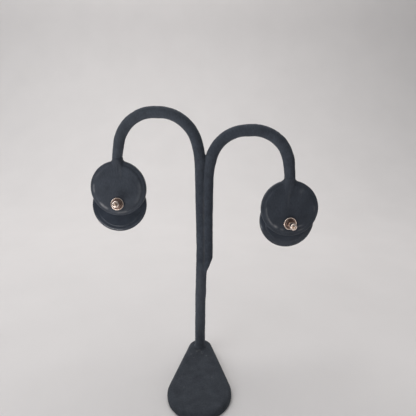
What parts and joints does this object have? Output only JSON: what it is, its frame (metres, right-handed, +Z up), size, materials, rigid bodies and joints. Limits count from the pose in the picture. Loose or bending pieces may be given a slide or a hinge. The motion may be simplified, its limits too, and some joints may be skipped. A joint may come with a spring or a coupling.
{
  "type": "pair of button earrings on a two-arm display stand",
  "caption": "Pair of large round black button earrings, each post pushed through a disc pad of a flocked two-arm stand and held at the back by a bullet clutch.",
  "frame": {"origin": "centre of the stem's foot, on the underside of the base", "axes": "+Z up along the stem, +X towards the lower arm, +Y towards the buttons' fronts; the base's round end lies towards -Y, the side of the pads' backs and the clutches"},
  "size_m": [0.104, 0.0525, 0.1196],
  "materials": {
    "flock_base": "matte flocked black, slightly blue",
    "flock_arms": "matte flocked black",
    "pad_satin": "satin black",
    "button_gloss": "glossy black",
    "post_gold": "polished rose gold",
    "clutch_gold": "polished rose gold"
  },
  "bodies": {
    "root": {"stand_base": "flock_base", "stand_arms": "flock_arms", "pad_left": "pad_satin", "pad_right": "pad_satin", "button_left": "button_gloss", "button_right": "button_gloss", "post_left": "post_gold", "post_right": "post_gold", "clutch_left": "clutch_gold", "clutch_right": "clutch_gold"}
  },
  "joints": []
}
